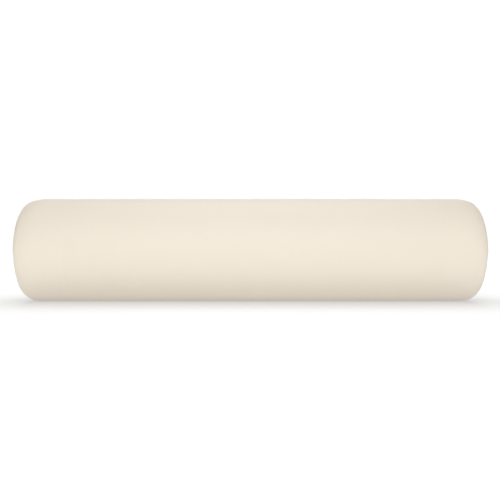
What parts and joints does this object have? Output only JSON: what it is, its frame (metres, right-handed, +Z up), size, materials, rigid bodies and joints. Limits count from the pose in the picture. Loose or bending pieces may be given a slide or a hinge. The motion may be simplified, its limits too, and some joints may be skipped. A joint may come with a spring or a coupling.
{
  "type": "bolster pillow",
  "caption": "Full-round massage bolster: a foam log in wadding and a slip liner, inside a smooth soft-vinyl cover with rounded rims that closes with a zip along its back.",
  "frame": {"origin": "on the surface that the bolster rests on, straight below the middle of its length", "axes": "+X along the bolster, +Y towards its back, where the zip is, +Z up"},
  "size_m": [0.6604, 0.1557, 0.1504],
  "materials": {
    "cover_vinyl": "smooth cream soft vinyl with a fine grain and a low, soft sheen",
    "cover_thread": "cream bonded polyester thread",
    "core_foam": "pale yellow open-cell polyurethane foam",
    "fill_wadding": "white polyester fibre wadding",
    "liner_knit": "off-white knitted slip liner",
    "zip_tape": "cream woven tape",
    "zip_teeth": "cream moulded acetal",
    "zip_metal": "satin nickel plate"
  },
  "bodies": {
    "bolster": {"foam_core": "core_foam", "wadding_wrap": "fill_wadding", "left_end_wadding": "fill_wadding", "right_end_wadding": "fill_wadding", "inner_liner": "liner_knit", "cover_body_panel": "cover_vinyl", "left_end_panel": "cover_vinyl", "right_end_panel": "cover_vinyl", "left_end_seam_thread": "cover_thread", "right_end_seam_thread": "cover_thread", "zip_upper_tape": "zip_tape", "zip_lower_tape": "zip_tape", "zip_upper_teeth": "zip_teeth", "zip_lower_teeth": "zip_teeth", "zip_upper_top_stop": "zip_metal", "zip_lower_top_stop": "zip_metal", "zip_bottom_stop": "zip_metal", "zip_topstitching": "cover_thread"},
    "slider": {"zip_slider_body": "zip_metal"},
    "pull_tab": {"zip_pull_tab": "zip_metal"}
  },
  "joints": [
    {"name": "zip_slide", "type": "slide", "parent": "bolster", "child": "slider", "axis": [-1, 0, 0], "range_m": [0, 0.4844], "deforming": ["zip_upper_teeth", "zip_lower_teeth"]},
    {"name": "pull_tab_flip", "type": "hinge", "parent": "slider", "child": "pull_tab", "pos_m": [0.24295, 0.0777, 0.0742], "axis": [0, 0, -1], "range_deg": [0, 180]}
  ]
}
